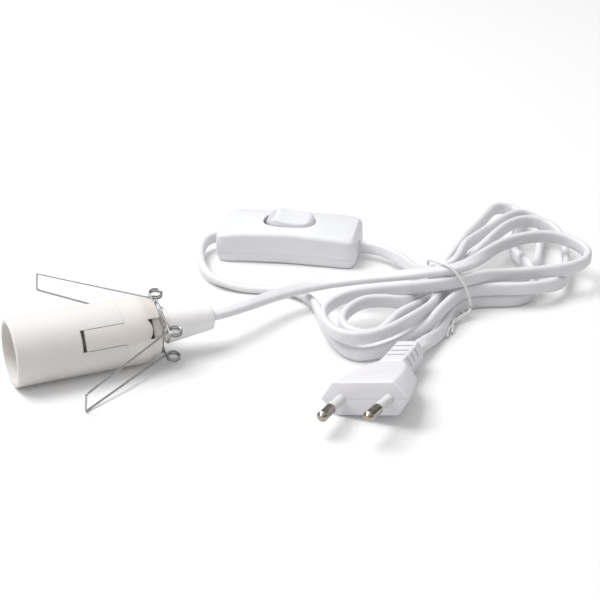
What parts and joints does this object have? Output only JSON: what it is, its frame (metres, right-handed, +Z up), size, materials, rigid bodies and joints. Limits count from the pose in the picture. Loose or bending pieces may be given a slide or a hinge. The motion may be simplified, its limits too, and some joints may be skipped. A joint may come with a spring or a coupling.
{
  "type": "lamp cord set",
  "caption": "White cord set for a small decorative lamp: screw lamp holder with wire spring clip, inline rocker switch, flat cord wound and tied, flat moulded plug with round pins.",
  "frame": {"origin": "bottom centre of the box round the lamp holder and its spring clip, on the floor", "axes": "+X along the holder's axis from its open mouth to its cord end, +Z up, -Y towards the viewer"},
  "size_m": [0.26, 0.1954, 0.0271],
  "materials": {
    "holder_white": "satin",
    "switch_white": "satin",
    "cord_set_white": "soft satin",
    "tie_white": "satin",
    "core_sleeve": "satin",
    "insulator": "matt",
    "brass": "plain",
    "plated_steel": "bright plated",
    "spring_wire": "bright drawn wire"
  },
  "bodies": {
    "cord_set": {"front_shell": "holder_white", "rear_cap": "holder_white", "screw_shell": "brass", "contact_base": "insulator", "centre_contact": "brass", "holder_terminals": "brass", "holder_terminal_screws": "plated_steel", "core_wires": "core_sleeve", "near_clip_frame": "spring_wire", "far_clip_frame": "spring_wire", "switch_base": "switch_white", "switch_cover": "switch_white", "switch_terminals": "brass", "switch_terminal_screws": "plated_steel", "fixed_contacts": "brass", "left_cord_clamp": "insulator", "right_cord_clamp": "insulator", "clamp_screws": "plated_steel", "case_screws": "plated_steel", "plug_body": "cord_set_white", "pin_left": "plated_steel", "sleeve_left": "cord_set_white", "pin_right": "plated_steel", "sleeve_right": "cord_set_white", "holder_lead": "cord_set_white", "switch_left_lead": "cord_set_white", "switch_right_lead": "cord_set_white", "plug_lead": "cord_set_white", "cord_hank": "cord_set_white", "twist_tie": "tie_white"},
    "near_arm": {"near_clip_arm": "spring_wire"},
    "far_arm": {"far_clip_arm": "spring_wire"},
    "rocker": {"rocker": "switch_white", "contact_blade": "brass"}
  },
  "joints": [
    {"name": "near_arm_squeeze", "type": "hinge", "parent": "cord_set", "child": "near_arm", "pos_m": [0.02065, -0.01346, 0.01002], "axis": [0, -0.2571, 0.9664], "range_deg": [-12, 0], "stiffness_Nm_per_rad": 0.1},
    {"name": "far_arm_squeeze", "type": "hinge", "parent": "cord_set", "child": "far_arm", "pos_m": [0.02065, 0.00896, 0.01598], "axis": [0, -0.2571, 0.9664], "range_deg": [0, 18], "stiffness_Nm_per_rad": 0.1},
    {"name": "rocker_tilt", "type": "hinge", "parent": "cord_set", "child": "rocker", "pos_m": [0.10295, 0.06955, 0.0096], "axis": [0.5388, 0.8425, 0], "range_deg": [-14, 0]}
  ]
}
